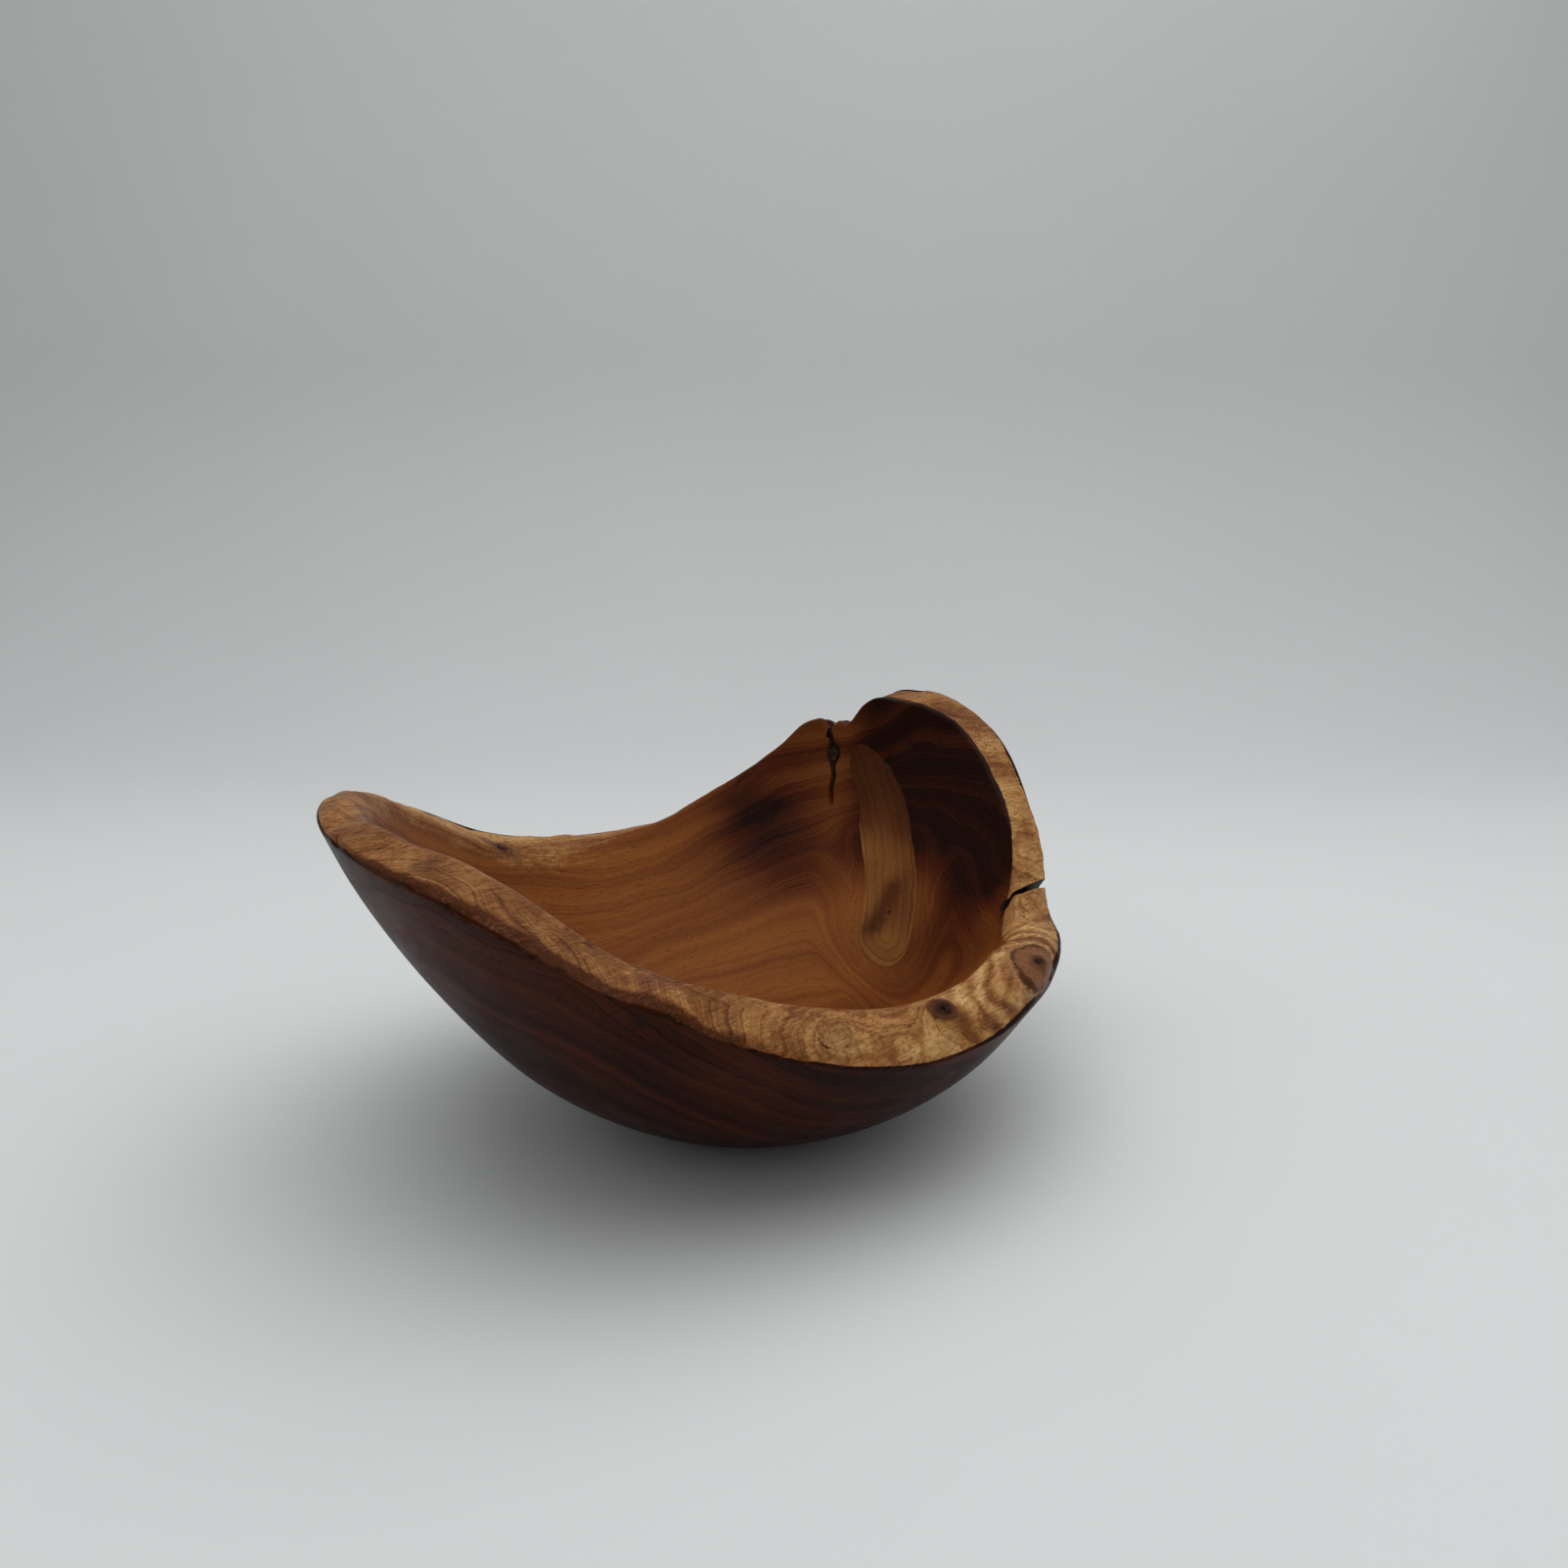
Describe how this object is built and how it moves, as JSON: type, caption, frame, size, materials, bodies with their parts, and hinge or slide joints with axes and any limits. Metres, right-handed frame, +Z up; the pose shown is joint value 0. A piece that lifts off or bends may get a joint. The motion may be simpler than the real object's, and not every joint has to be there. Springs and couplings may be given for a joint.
{
  "type": "wooden bowl",
  "caption": "Natural-edge turned wooden bowl with a saddle-shaped live rim, two high ends, a flat foot and a round hollow.",
  "frame": {"origin": "middle of the flat foot, on the surface the bowl stands on", "axes": "+Z up along the turning axis; +X along the log, towards the higher end of the rim; +Y towards the side with the higher dip"},
  "size_m": [0.2702, 0.2172, 0.1284],
  "materials": {
    "heartwood": "oiled reddish-brown heartwood, semi-gloss",
    "sapwood": "pale tan sapwood left from under the bark, satin",
    "knot_wood": "swirled reddish-brown knot wood, satin",
    "bark": "near-black trapped bark, matt"
  },
  "bodies": {
    "root": {"heartwood_bowl": "heartwood", "sapwood_edge_long": "sapwood", "sapwood_edge_crown": "sapwood", "sapwood_streak": "sapwood", "bark_seam": "bark", "knot_burl": "knot_wood", "knot_front": "knot_wood", "knot_ringed": "knot_wood", "knot_tip": "knot_wood", "knot_back": "knot_wood"}
  },
  "joints": []
}
